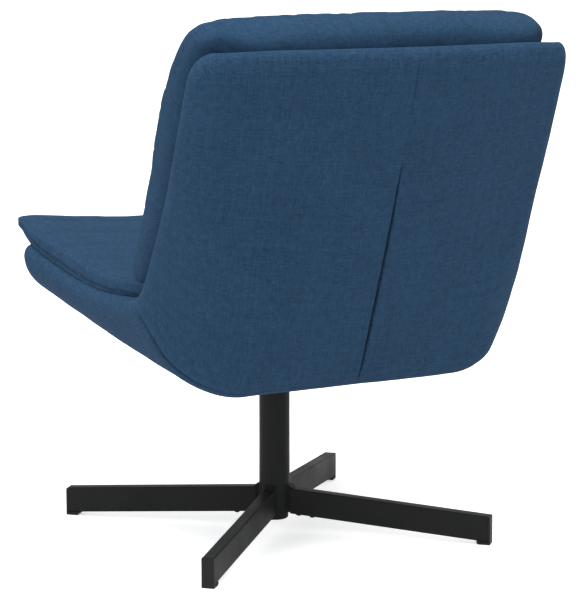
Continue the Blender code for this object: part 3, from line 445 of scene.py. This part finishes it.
def shell_details(grid, normals, across):
    """Height of the cloth over the plain shell, and how much painted shade falls in its seams' creases."""
    shape = grid.shape[:2]
    points = grid.reshape(-1, 3)
    x, z = points[:, 0], points[:, 2]
    side = across.reshape(-1)
    is_back = np.repeat(np.arange(shape[0]), shape[1]) > BACK_ROW
    height = 0.0007 * soft_noise(points, 0.11, 1.0) + 0.0003 * soft_noise(points, 0.035, 2.0)
    mark = np.zeros(len(points))
    # the padding is fuller along the back's sides and under the seat's sides
    height += 0.0026 * smooth_step((np.abs(x) - 0.24) / 0.05) * smooth_step((z - 0.36) / 0.08)
    height += (0.0018 * smooth_step((np.abs(x) - 0.22) / 0.06) * smooth_step((0.37 - z) / 0.05)
               * smooth_step((0.15 - points[:, 1]) / 0.06))
    # the rear lower corner is drawn in, on the -X side alone
    height -= 0.0060 * ridge(z, 0.318, 0.030) * smooth_step((-x - 0.235) / 0.05)
    # the slit, and the closed seam above it
    share = (z - SLIT_BOTTOM) / (SLIT_TOP - SLIT_BOTTOM)
    inside = is_back & (share > 0) & (share < 1)
    width = (SLIT_HALF_WIDTH * np.clip((1 - share) / 0.30, 0, 1) ** 0.75
             * np.clip(share / 0.16, 0, 1) ** 0.6)
    groove = 1 - smooth_step((np.abs(side) - width * 0.8) / 0.0010)
    height -= np.where(inside, SLIT_DEPTH * groove * np.clip(width / 0.0006, 0, 1), 0)
    lip = ridge(np.abs(side), 0.005, 0.006) * (np.abs(side) > width)
    height += np.where(inside, 0.0009 * lip * np.sin(np.clip(share, 0, 1) * math.pi) ** 0.4, 0)
    above = is_back & (share >= 0.98) & (z < SEAM_TOP)
    fade = 0.25 + 0.75 * smooth_step((z - 0.69) / 0.03) * smooth_step((0.80 - z) / 0.03)
    line = ridge(side, 0.0, 0.0011)
    height -= np.where(above, 0.0007 * line * fade, 0)
    height += np.where(above, 0.0004 * ridge(np.abs(side), 0.006, 0.005) * fade, 0)
    # painted shade in the closed seam's groove
    mark = np.maximum(mark, np.where(above, 0.34 * line * fade, 0))
    # the seam between the back and the seat's side panels; the back puffs over it
    near = (z < 0.47) & (z > 0.25) & (points[:, 1] > 0.05)
    right = right_side(points)
    beside = right[near]
    outward = normals.reshape(-1, 3)[near]
    outward[:, 0] = np.where(x[near] < 0, -outward[:, 0], outward[:, 0])
    away, along = distance_to_path(beside, CORNER_SEAM, outward)
    rise = np.interp(along, SEAM_SHARES, SEAM_STRENGTHS)
    ahead = beside[:, 1] * 0.75 + beside[:, 2] * 0.66
    nearest = CORNER_SEAM[:, 1] * 0.75 + CORNER_SEAM[:, 2] * 0.66
    total = np.concatenate(([0], np.cumsum(np.linalg.norm(np.diff(CORNER_SEAM, axis=0), axis=1))))
    behind = ahead - np.interp(along, total / total[-1], nearest)
    on_back = smooth_step(behind / 0.004 + 0.5)
    seam = ridge(away, 0.0, SEAM_WIDTH)
    puff = ridge(away, 0.014, 0.013)
    height[near] += (-SEAM_DEPTH * seam * rise + BACK_PUFF * puff * on_back * rise
                     + SIDE_PUFF * puff * (1 - on_back) * rise)
    # painted shade in the seam's crease
    dark = 0.90 * ridge(away, 0.0, SEAM_MARK_WIDTH) * np.minimum(rise, 1)
    mark[near] = np.maximum(mark[near], dark)
    # short tension folds that fan out from the notch between the seat and the wing
    close = np.linalg.norm(right - NOTCH_POINT, axis=1) < FOLD_REACH
    flat = right[close]
    flat[:, 0] = NOTCH_POINT[0]
    for angle, length, depth in FOLDS:
        turn = math.radians(angle)
        way = np.array((0.0, 0.95 * math.cos(turn), -0.95 * math.sin(turn)))
        path = np.array([NOTCH_POINT + way * length * t for t in (0.12, 0.5, 1.0)])
        away, along = distance_to_path(flat, path)
        height[close] -= depth * (ridge(away, 0.0, FOLD_WIDTH) * np.sin(along * math.pi))
    return height.reshape(shape), mark.reshape(shape)


POCKET_HALF_WIDTH, POCKET_DEPTH, POCKET_EDGE = 0.1025, 0.0115, 0.004
POCKET_CENTRE_Z, UNDERSIDE_TOP = 0.3202, 0.40


def plate_pocket(grid):
    """How deep the underside is cut away around the seat plate."""
    slope = (REAR_CORNER - FRONT) / np.linalg.norm(REAR_CORNER - FRONT)
    along = (grid[..., 1] - SWIVEL_Y) * slope[0] + (grid[..., 2] - POCKET_CENTRE_Z) * slope[1]
    reach = np.maximum(np.abs(grid[..., 0]), np.abs(along))
    depth = POCKET_DEPTH * (1 - smooth_step((reach - POCKET_HALF_WIDTH) / POCKET_EDGE))
    return np.where(grid[..., 2] < UNDERSIDE_TOP, depth, 0)


def make_shell_cover():
    """The whole upholstery as one closed skin: outer face, inner face and the roll between them."""
    outer, inner, across, run = shell_grids()
    for grid in (outer, inner):
        grid[..., 1] += SWIVEL_Y
        relax(grid[RELAXED_ROWS], RELAX_ROUNDS)
        sag = (SAG_MIDDLE - SAG_FALL * (grid[..., 0] / 0.30) ** 2
               + SAG_CORNER * smooth_step((np.abs(grid[..., 0]) - 0.20) / 0.11))
        grid[..., 2] -= sag * np.clip((grid[..., 2] - 0.72) / 0.08, 0, 1) ** 2
    outer, inner, across = mirrored(outer), mirrored(inner), mirrored(across)
    count_rows, count_columns = outer.shape[:2]
    normals = grid_normals(outer)
    if normals[count_rows // 3, count_columns // 2, 2] > 0:
        normals = -normals
    height, mark = shell_details(outer, normals, across)
    height -= plate_pocket(outer)
    rolled = np.clip((outer[..., 2] - (TOP[1] - TOP_ROLL_LENGTH)) / TOP_ROLL_LENGTH, 0, 1)
    height -= TOP_ROLL * rolled ** 2
    loose = outer.copy()
    outer = outer + normals * height[..., None]
    # the loop around the faces' edges
    border = [(0, c) for c in range(count_columns)]
    border += [(r, count_columns - 1) for r in range(1, count_rows)]
    border += [(count_rows - 1, c) for c in range(count_columns - 2, -1, -1)]
    border += [(r, 0) for r in range(count_rows - 2, 0, -1)]
    r_index, c_index = np.array(border).T
    first, last = outer[r_index, c_index], inner[r_index, c_index]
    plain = loose[r_index, c_index]
    along = unit(np.roll(plain, -1, axis=0) - np.roll(plain, 1, axis=0))
    through = last - first
    outward = unit(np.cross(along, unit(through)))
    nearby = loose[np.clip(r_index, 2, count_rows - 3), np.clip(c_index, 2, count_columns - 3)]
    outward *= np.sign(np.einsum("ij,ij->i", outward, plain - nearby))[:, None]
    for _ in range(3):
        outward = unit(outward + 0.5 * (np.roll(outward, 1, axis=0) + np.roll(outward, -1, axis=0)))
    points = [outer.reshape(-1, 3), inner.reshape(-1, 3)]
    base = outer[..., 0].size
    rings = []
    for j in range(1, RING_COUNT):
        angle = math.pi * j / RING_COUNT
        ring = first + through * (1 - math.cos(angle)) / 2 + outward * EDGE * math.sin(angle)
        rings.append(2 * base + len(first) * (j - 1))
        points.append(ring)
    points = np.concatenate(points)
    number = np.arange(base).reshape(count_rows, count_columns)
    faces, places = [], []
    uv_outer = np.stack((across, np.repeat(run[:, None], count_columns, axis=1)), axis=-1)
    uv_flat = uv_outer.reshape(-1, 2)

    def add(face, uvs):
        faces.append(face)
        places.extend(uvs)

    for r in range(count_rows - 1):
        for c in range(count_columns - 1):
            a, b, d, e = number[r, c], number[r, c + 1], number[r + 1, c + 1], number[r + 1, c]
            uvs = [uv_flat[k] for k in (a, b, d, e)]
            add((a, e, d, b), [uvs[0], uvs[3], uvs[2], uvs[1]])
            add((a + base, b + base, d + base, e + base), uvs)
    loop_outer = number[r_index, c_index]
    lines = [loop_outer] + [np.arange(len(first)) + start for start in rings] + [loop_outer + base]
    uv_edge = uv_flat[loop_outer]
    push = np.zeros_like(uv_edge)
    push[:, 0] = np.where(c_index == 0, -1, np.where(c_index == count_columns - 1, 1, 0))
    push[:, 1] = np.where(r_index == 0, -1, np.where(r_index == count_rows - 1, 1, 0))
    push = unit(push)
    total = len(first)
    for j in range(RING_COUNT):
        near, far = lines[j], lines[j + 1]
        laid = [EDGE_CLOTH * (j + step) / RING_COUNT for step in (0, 1)]
        for k in range(total):
            after = (k + 1) % total
            direction = unit(push[k] + push[after])
            uv = [uv_edge[k] + direction * laid[0], uv_edge[after] + direction * laid[0],
                  uv_edge[after] + direction * laid[1], uv_edge[k] + direction * laid[1]]
            add((near[k], near[after], far[after], far[k]), uv)
    mesh = mesh_from("shell_cover", points, faces)
    uv_layer = mesh.uv_layers.new(name="weave")
    uv_layer.data.foreach_set("uv", np.array(places, dtype=np.float32).reshape(-1))
    seam = mesh.attributes.new("seam", "FLOAT", "POINT")
    values = np.zeros(len(points), dtype=np.float32)
    values[:base] = mark.reshape(-1)
    seam.data.foreach_set("value", values)
    mesh.materials.append(WEAVE)
    mesh.materials.append(LINING)
    # the slit's floor is the dark strip
    deep = (height < -STRIP_DEPTH) & (np.arange(count_rows)[:, None] > BACK_ROW)
    deep_points = set(number[deep])
    index = np.zeros(len(faces), dtype=np.int32)
    for k in range(0, 2 * (count_rows - 1) * (count_columns - 1), 2):
        if all(v in deep_points for v in faces[k]):
            index[k] = 1
    mesh.polygons.foreach_set("material_index", index)
    mesh.update()
    bm = bmesh.new()
    bm.from_mesh(mesh)
    bmesh.ops.recalc_face_normals(bm, faces=bm.faces)
    bm.to_mesh(mesh)
    bm.free()
    made = link("shell_cover", mesh)
    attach(made, "seat")
    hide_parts("outer_upholstery", "inner_upholstery", "seam_strip")
    return made


# --- cushions -----------------------------------------------------------------------------------

CUSHION_HALF_WIDTH = 0.306
# centre, height and pitch place a cushion in the chair. upper and lower are its thickness above and
# below its seam plane, and how that changes along it; bend and rise curve it. fill deepens its sides,
# nest is where its underside fits into the shell, and edge is how thick it is outside that. round is
# its section's exponent, plan is its outline's at the front and the back. channels are the sewn rows'
# places along it, and seams are the heights of its two seam loops.
CUSHIONS = {
    "seat_cushion": {
        "half_width": CUSHION_HALF_WIDTH, "half_length": 0.318, "centre": (-0.088, 0.4170), "pitch": -9.3,
        "upper": (0.0262, 0.008), "lower": (0.0375, 0.010), "bend": 0.024, "rise": 0.080, "fill": 0.030,
        "nest": (0.257, 0.262), "edge": 0.0120, "thin_front": -0.6, "round": 4.5, "plan": (8.0, 3.6),
        "channels": (-0.256, -0.174, -0.092, -0.008, 0.073, 0.155), "channel_depth": 0.0010,
        "channel_mark": 0.04, "pucker": 0.0007, "seams": (0.31, 0.74)},
    "back_cushion": {
        "half_width": CUSHION_HALF_WIDTH, "half_length": 0.218, "centre": (0.2540, 0.650), "pitch": 64.0,
        "upper": (0.048, 0.001), "lower": (0.081, -0.021), "bend": 0.062, "rise": -0.034, "fill": 0.040,
        "nest": (0.266, 0.500), "edge": 0.055, "thin_front": 0.0, "round": 3.7, "plan": (13.0, 11.0),
        "channels": (-0.155, -0.0375, 0.080), "channel_depth": 0.0035,
        "channel_mark": 0.30, "pucker": 0.0014, "seams": (0.48, 0.82)},
}
CELL = 0.0085
START_INSET = 0.0035         # how much smaller a cushion is before it swells
SEAM_INSET = 0.0022
PRESSURE = 3.0
SWELL_CAP = 0.0055
SETTLE_REACH = 0.024         # how far the underside's edge may drop onto the rim
UNDERSIDE, TOP_SIDE = -0.15, 0.92            # the upright part of a normal there
# how much painted shade the seam loops get
SEAM_MARK = 0.50
CLEARANCE = 0.0008           # kept from the neighbours
CHANNEL_ROWS = (-0.0055, -0.0022, 0.0, 0.0022, 0.0055)       # rows of points across a channel


def pillow(look, x, y, z):
    """The cushion's outline (x, y from -1 to 1) and height (-1 to 1) in metres, in its own frame."""
    up = look["upper"][0] + look["upper"][1] * y
    low = look["lower"][0] + look["lower"][1] * y + look["fill"] * x * x
    ahead = np.maximum(-y, 0.0)
    sideways = (np.abs(look["half_width"] * x) / look["nest"][0]) ** 4
    forwards = (ahead * look["half_length"] / look["nest"][1]) ** 4
    inside = np.sqrt(np.maximum(0.0, 1 - (sideways ** 2 + forwards ** 2 + 1.5 * sideways * forwards)))
    edge = look["edge"] * np.maximum(0.2, 1 - look["thin_front"] * ahead ** 3)
    low = low * inside + edge * (1 - inside)
    bend = look["bend"] + look["rise"] * np.maximum(y, 0.0) ** 2
    height = np.where(z > 0, up, low) * z + bend * x * x
    return np.stack((look["half_width"] * x, look["half_length"] * y, height), axis=-1)


def outline_at(look, height):
    """Share of the outline that the cushion has at a height of -1 to 1."""
    return (1 - abs(height) ** look["round"]) ** (1 / look["round"])


def grid_lines(look, half, seam, channels):
    """Positions from -1 to 1 on a panel, close together at its edge and at each channel."""
    reach = outline_at(look, seam)
    lines = np.linspace(-1, 1, int(round(2 * half / CELL)) + 1)
    turned = [outline_at(look, h) / reach for h in np.arange(seam + 0.07, 0.76, 0.07)]
    lines = list(lines[np.abs(lines) < turned[-1] - 0.5 * CELL / half])
    lines += turned + [-t for t in turned] + [-1.0, 1.0]
    for place in channels:
        middle = place / half / reach
        lines = [t for t in lines if abs(t - middle) > 0.0075 / half]
        lines += [middle + d / half for d in CHANNEL_ROWS]
    return np.array(sorted(lines))


def panel(look, us, vs, seam, side):
    """One panel's grid of points, and their UVs measured over the rounded edge."""
    reach = outline_at(look, seam)
    u, v = np.meshgrid(us, vs)
    power = np.where(v > 0, look["plan"][1], look["plan"][0])
    u_part, v_part = np.abs(u) ** power, np.abs(v) ** power
    x = reach * u * (1 - v_part / 2) ** (1 / power)
    y = reach * v * (1 - u_part / 2) ** (1 / power)
    most = (1 - (1 - u_part) * (1 - v_part)) ** (1 / power)
    height = (1 - np.minimum(reach * most, 1) ** look["round"]) ** (1 / look["round"])
    points = pillow(look, x, y, side * height)
    levels = np.linspace(0, 1, 400)
    drop = 0.11 * (1 - levels ** 3) ** (1 / 3)
    length = np.concatenate(([0], np.cumsum(np.hypot(np.diff(levels), np.diff(drop)))))
    grow = np.interp(reach * most, levels, length) / np.maximum(reach * most, 1e-6)
    uv = points[..., :2] * np.where(most > 0, grow, 1.0)[..., None]
    return points.reshape(-1, 3), uv.reshape(-1, 2), x / reach, y / reach


def cushion_mesh(name, look):
    """Two panels and a border, as one closed mesh, with its seam loops and channel rows."""
    upper_seam, lower_seam = look["seams"]
    us = grid_lines(look, look["half_width"], upper_seam, ())
    vs = grid_lines(look, look["half_length"], upper_seam, look["channels"])
    top, top_uv, edge_u, edge_v = panel(look, us, vs, upper_seam, 1)
    bottom, bottom_uv, _, _ = panel(look, us, vs, lower_seam, -1)
    bottom_uv = bottom_uv + np.array((1.3, 0.0))
    rows_v, rows_u = len(vs), len(us)
    number = np.arange(rows_v * rows_u).reshape(rows_v, rows_u)
    loop = np.concatenate((number[0, :-1], number[:-1, -1], number[-1, :0:-1], number[:0:-1, 0]))
    edge_x, edge_y = edge_u.reshape(-1)[loop], edge_v.reshape(-1)[loop]
    angles = np.linspace(math.asin(upper_seam), -math.asin(lower_seam), 12)
    levels = np.sin(angles[1:-1])
    levels = np.concatenate(([upper_seam - 0.04], levels, [-lower_seam + 0.04]))
    wall = [pillow(look, edge_x * outline_at(look, h), edge_y * outline_at(look, h),
                   np.full(len(loop), h)) for h in levels]
    size = number.size
    points = np.concatenate([top, bottom] + wall)
    faces, uvs = [], []
    for r in range(rows_v - 1):
        for c in range(rows_u - 1):
            a, b, d, e = number[r, c], number[r, c + 1], number[r + 1, c + 1], number[r + 1, c]
            faces.append((a, b, d, e))
            uvs.extend(top_uv[k] for k in (a, b, d, e))
            faces.append((a + size, e + size, d + size, b + size))
            uvs.extend(bottom_uv[k] for k in (a, e, d, b))
    lines = [loop] + [2 * size + k * len(loop) + np.arange(len(loop)) for k in range(len(levels))]
    lines.append(loop + size)
    around = np.concatenate(([0], np.cumsum(np.linalg.norm(np.diff(top[loop], axis=0), axis=1))))
    whole = around[-1] + np.linalg.norm(top[loop[-1]] - top[loop[0]])
    steps = [np.linalg.norm(points[lines[k + 1]] - points[lines[k]], axis=1).mean()
             for k in range(len(lines) - 1)]
    down = np.concatenate(([0], np.cumsum(steps)))
    total = len(loop)
    for k in range(len(lines) - 1):
        for j in range(total):
            after = (j + 1) % total
            faces.append((lines[k][j], lines[k + 1][j], lines[k + 1][after], lines[k][after]))
            s0, s1 = around[j], around[after] if after else whole
            high, low = 2 - down[k], 2 - down[k + 1]
            uvs.extend(((s0, high), (s0, low), (s1, low), (s1, high)))
    mesh = mesh_from(name, points, faces)
    layer = mesh.uv_layers.new(name="weave")
    layer.data.foreach_set("uv", np.array(uvs, dtype=np.float32).reshape(-1))
    seam_rows = [list(loop), list(loop + size)]
    channel_rows = []
    for place in look["channels"]:
        r = int(np.argmin(np.abs(vs - place / look["half_length"] / outline_at(look, upper_seam))))
        channel_rows.append([number[r, c] for c in range(rows_u)])
    return mesh, seam_rows, channel_rows


def coords(mesh):
    values = np.empty(len(mesh.vertices) * 3, dtype=np.float32)
    mesh.vertices.foreach_get("co", values)
    return values.reshape(-1, 3).astype(float)


def set_coords(mesh, points):
    mesh.vertices.foreach_set("co", np.asarray(points, dtype=np.float32).reshape(-1))
    mesh.update()


def mesh_normals(mesh):
    values = np.empty(len(mesh.vertices) * 3, dtype=np.float32)
    mesh.vertex_normals.foreach_get("vector", values)
    return values.reshape(-1, 3).astype(float)


def swell(made, pinned, frames=20):
    """Blow the cover up with cloth pressure, held at its seams."""
    mesh = made.data
    start = coords(mesh)
    group = made.vertex_groups.new(name="held")
    group.add([int(k) for k in pinned], 1.0, "REPLACE")
    cloth = made.modifiers.new("Cloth", "CLOTH")
    cloth.settings.quality = 6
    cloth.settings.mass = 0.3
    cloth.settings.tension_stiffness = 18
    cloth.settings.compression_stiffness = 18
    cloth.settings.shear_stiffness = 8
    cloth.settings.bending_stiffness = 0.6
    cloth.settings.use_pressure = True
    cloth.settings.uniform_pressure_force = PRESSURE
    cloth.settings.effector_weights.gravity = 0
    cloth.settings.vertex_group_mass = "held"
    cloth.collision_settings.use_collision = False
    cloth.point_cache.frame_start, cloth.point_cache.frame_end = 1, frames
    for frame_number in range(1, frames + 1):
        SCENE.frame_set(frame_number)
    solved = made.evaluated_get(bpy.context.evaluated_depsgraph_get()).to_mesh()
    moved = coords(solved) - start
    made.evaluated_get(bpy.context.evaluated_depsgraph_get()).to_mesh_clear()
    made.modifiers.remove(cloth)
    made.vertex_groups.clear()
    SCENE.frame_set(1)
    length = np.linalg.norm(moved, axis=1, keepdims=True)
    share = SWELL_CAP * np.tanh(length / SWELL_CAP) / np.maximum(length, 1e-9)
    set_coords(mesh, start + moved * share)


def neighbours_mean(mesh, values, rounds, held=None):
    """Spread a value over the mesh's neighbouring vertices."""
    edges = np.empty(len(mesh.edges) * 2, dtype=np.int32)
    mesh.edges.foreach_get("vertices", edges)
    first, second = edges.reshape(-1, 2).T
    count = np.bincount(first, minlength=len(values)) + np.bincount(second, minlength=len(values))
    for _ in range(rounds):
        total = (np.bincount(first, values[second], len(values))
                 + np.bincount(second, values[first], len(values)))
        fresh = total / np.maximum(count, 1)
        values = fresh if held is None else np.where(held, values, fresh)
    return values


def tree_of(made):
    mesh = made.data
    return BVHTree.FromPolygons([v.co[:] for v in mesh.vertices], [p.vertices[:] for p in mesh.polygons])


def keep_clear(mesh, trees, gap):
    """Move points that touch or enter a neighbour back out of it."""
    points = coords(mesh)
    for k, point in enumerate(points):
        for tree in trees:
            spot, normal, _, away = tree.find_nearest(point, 0.05)
            if spot is None:
                continue
            inside = (Vector(point) - spot).dot(normal)
            if inside < gap and away < 0.03:
                point += np.array(normal) * (gap - inside)
    set_coords(mesh, points)


def place_of(look):
    """The cushion's turn and its centre in the chair."""
    turn = math.radians(look["pitch"])
    cosine, sine = math.cos(turn), math.sin(turn)
    rotation = np.array(((1, 0, 0), (0, cosine, -sine), (0, sine, cosine)))
    return rotation, np.array((0.0, look["centre"][0] + SWIVEL_Y, look["centre"][1]))


def settle(mesh, shell_tree):
    """Lower the underside's edge until it rests on the shell's rim, and less at the front corners."""
    points = coords(mesh)
    normals = mesh_normals(mesh)
    drop = np.zeros(len(points))
    known = np.zeros(len(points), dtype=bool)
    for k, point in enumerate(points):
        if normals[k, 2] > UNDERSIDE:
            continue
        spot = shell_tree.ray_cast(Vector(point), Vector((0, 0, -1)), 0.08)[0]
        if spot is not None:
            corner = smooth_step((-0.25 - point[1]) / 0.10) * smooth_step((abs(point[0]) - 0.12) / 0.10)
            drop[k] = min(point[2] - spot.z - 0.001, SETTLE_REACH * (1 - 0.8 * corner))
            known[k] = True
    drop = np.maximum(drop, 0)
    low = normals[:, 2] <= UNDERSIDE
    drop = np.where(known, drop, np.where(low, neighbours_mean(mesh, drop, 4), 0))
    # the border follows between the underside and the top, which stays
    drop = neighbours_mean(mesh, drop, 80, held=low | (normals[:, 2] > TOP_SIDE))
    drop = neighbours_mean(mesh, drop, 2)
    points[:, 2] -= drop
    set_coords(mesh, points)


def make_cushion(node, shape, shell_tree, others):
    """One cushion's cover: sewn, swollen, placed, settled and kept clear of its neighbours."""
    look = CUSHIONS[node]
    mesh, seams, channels = cushion_mesh(node + "_cover", look)
    rotation, centre = place_of(look)
    made = link(node + "_cover", mesh)
    local = shape(coords(mesh))
    set_coords(mesh, local)
    normals = mesh_normals(mesh)
    inset = np.full(len(local), START_INSET)
    held = [k for row in seams for k in row]
    inset[held] = SEAM_INSET
    for row in channels:
        inset[row] = START_INSET + look["channel_depth"]
    set_coords(mesh, local - normals * inset[:, None])
    swell(made, held + [k for row in channels for k in row])
    points = coords(mesh) @ rotation.T + centre
    set_coords(mesh, points)
    if node == "seat_cushion":
        settle(mesh, shell_tree)
    # painted shade along the seam loops and the sewn channel rows
    mark = np.zeros(len(points), dtype=np.float32)
    mark[held] = SEAM_MARK
    for row in channels:
        mark[row] = look["channel_mark"]
    seam = mesh.attributes.new("seam", "FLOAT", "POINT")
    seam.data.foreach_set("value", mark)
    finer = made.modifiers.new("finer", "SUBSURF")
    finer.levels = finer.render_levels = 1
    finer.uv_smooth = "PRESERVE_CORNERS"
    fresh = bpy.data.meshes.new_from_object(made.evaluated_get(bpy.context.evaluated_depsgraph_get()))
    made.modifiers.clear()
    made.data = fresh
    fresh.name = node + "_cover"
    bpy.data.meshes.remove(mesh)
    fresh.shade_smooth()
    points = coords(fresh)
    normals = mesh_normals(fresh)
    ripple = 0.0006 * soft_noise(points, 0.06, 3.0) + 0.0004 * soft_noise(points, 0.022, 4.0)
    # the cover gathers in short puckers beside its seams
    stitched = np.empty(len(points), dtype=np.float32)
    fresh.attributes["seam"].data.foreach_get("value", stitched)
    beside = np.clip(neighbours_mean(fresh, stitched.astype(float) * 6.0, 8), 0, 1)
    ripple -= look["pucker"] * beside * np.clip(soft_noise(points, 0.015, 9.0), 0, 1)
    set_coords(fresh, points + normals * ripple[:, None])
    keep_clear(fresh, [shell_tree] + others, CLEARANCE)
    fresh.materials.clear()
    fresh.materials.append(WEAVE)
    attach(made, "seat")
    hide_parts(node)
    return made


def seat_shape(local):
    """The front corners reach a little further than the middle of the front edge."""
    x, y = local[:, 0], local[:, 1]
    out = local.copy()
    out[:, 1] -= 0.007 * (np.abs(x) / CUSHION_HALF_WIDTH) ** 4 * smooth_step((-y - 0.16) / 0.14)
    out[:, 0] *= 1 + 0.010 * smooth_step((-y - 0.12) / 0.16)
    return out


def back_shape(local):
    """The top edge bows slightly, the lower sides come in, and the lower corners reach down."""
    x, y = local[:, 0], local[:, 1]
    out = local.copy()
    out[:, 1] += (0.0030 - 0.0140 * (x / 0.26) ** 2) * smooth_step(y / 0.20)
    out[:, 0] *= 1 - 0.036 * smooth_step((0.06 - y) / 0.20)
    corner = (np.abs(x) / CUSHION_HALF_WIDTH) ** 8
    out[:, 1] -= 0.072 * corner * smooth_step((-y - 0.06) / 0.12)
    return out


# --- studio -------------------------------------------------------------------------------------

CAMERA_PLACE = (1.79804, 3.25584 + SWIVEL_Y, 0.99961)
CAMERA_HEADING, CAMERA_PITCH = (-0.4909, -0.8712), 0.1654    # a level direction, and radians down
CAMERA_LENS, SENSOR_WIDTH = 140.31, 36.0                     # millimetres
FLOOR_GLOW, WORLD_LIGHT = 0.50, 1.06
LIGHTS = (                   # name, place, size and power; all aim at the chair's middle
    ("top_light", (0.6, 0.9, 3.8), 2.8, 108),
    ("left_light", (3.6, 0.2, 1.9), 2.0, 30),
    ("right_light", (-2.0, 3.6, 2.0), 2.0, 6),
)
LIGHT_AIM = Vector((0, 0.1, 0.5))


def make_studio():
    camera = bpy.data.cameras.new("camera")
    camera.lens, camera.sensor_width, camera.sensor_fit = CAMERA_LENS, SENSOR_WIDTH, "AUTO"
    camera.clip_end = 200.0
    stand = link("camera", camera)
    stand.location = CAMERA_PLACE
    level = math.cos(CAMERA_PITCH)
    look = Vector((CAMERA_HEADING[0] * level, CAMERA_HEADING[1] * level, -math.sin(CAMERA_PITCH)))
    stand.rotation_euler = look.to_track_quat("-Z", "Y").to_euler()
    SCENE.camera = stand
    floor = bmesh.new()
    bmesh.ops.create_grid(floor, x_segments=8, y_segments=8, size=60.0)
    mesh = bpy.data.meshes.new("floor")
    floor.to_mesh(mesh)
    floor.free()
    ground = link("floor", mesh)
    ground.location.z = -0.0006
    n = Nodes("floor_look")
    tone = n.add("ShaderNodeTexNoise", {"Vector": object_place(n), "Scale": 2.0})
    n.feed(n.shader.inputs["Base Color"],
           n.mix(tone.outputs["Fac"], (0.90, 0.90, 0.90, 1), (0.92, 0.92, 0.92, 1)))
    n.shader.inputs["Roughness"].default_value = 0.9
    n.shader.inputs["Emission Color"].default_value = (1, 1, 1, 1)
    n.shader.inputs["Emission Strength"].default_value = FLOOR_GLOW
    mesh.materials.append(n.material)
    world = bpy.data.worlds.new("studio")
    world.use_nodes = True
    background = world.node_tree.nodes["Background"]
    background.inputs["Color"].default_value = (1, 1, 1, 1)
    background.inputs["Strength"].default_value = WORLD_LIGHT
    SCENE.world = world
    SCENE.view_settings.view_transform = "Standard"

    for name, place, size, power in LIGHTS:
        lamp = bpy.data.lights.new(name, "AREA")
        lamp.shape, lamp.size, lamp.energy = "DISK", size, power
        made = link(name, lamp)
        made.location = place
        made.rotation_euler = (LIGHT_AIM - Vector(place)).to_track_quat("-Z", "Y").to_euler()


make_studio()
shell_cover = make_shell_cover()
SHELL_TREE = tree_of(shell_cover)
seat_cover = make_cushion("seat_cushion", seat_shape, SHELL_TREE, [])
make_cushion("back_cushion", back_shape, SHELL_TREE, [tree_of(seat_cover)])
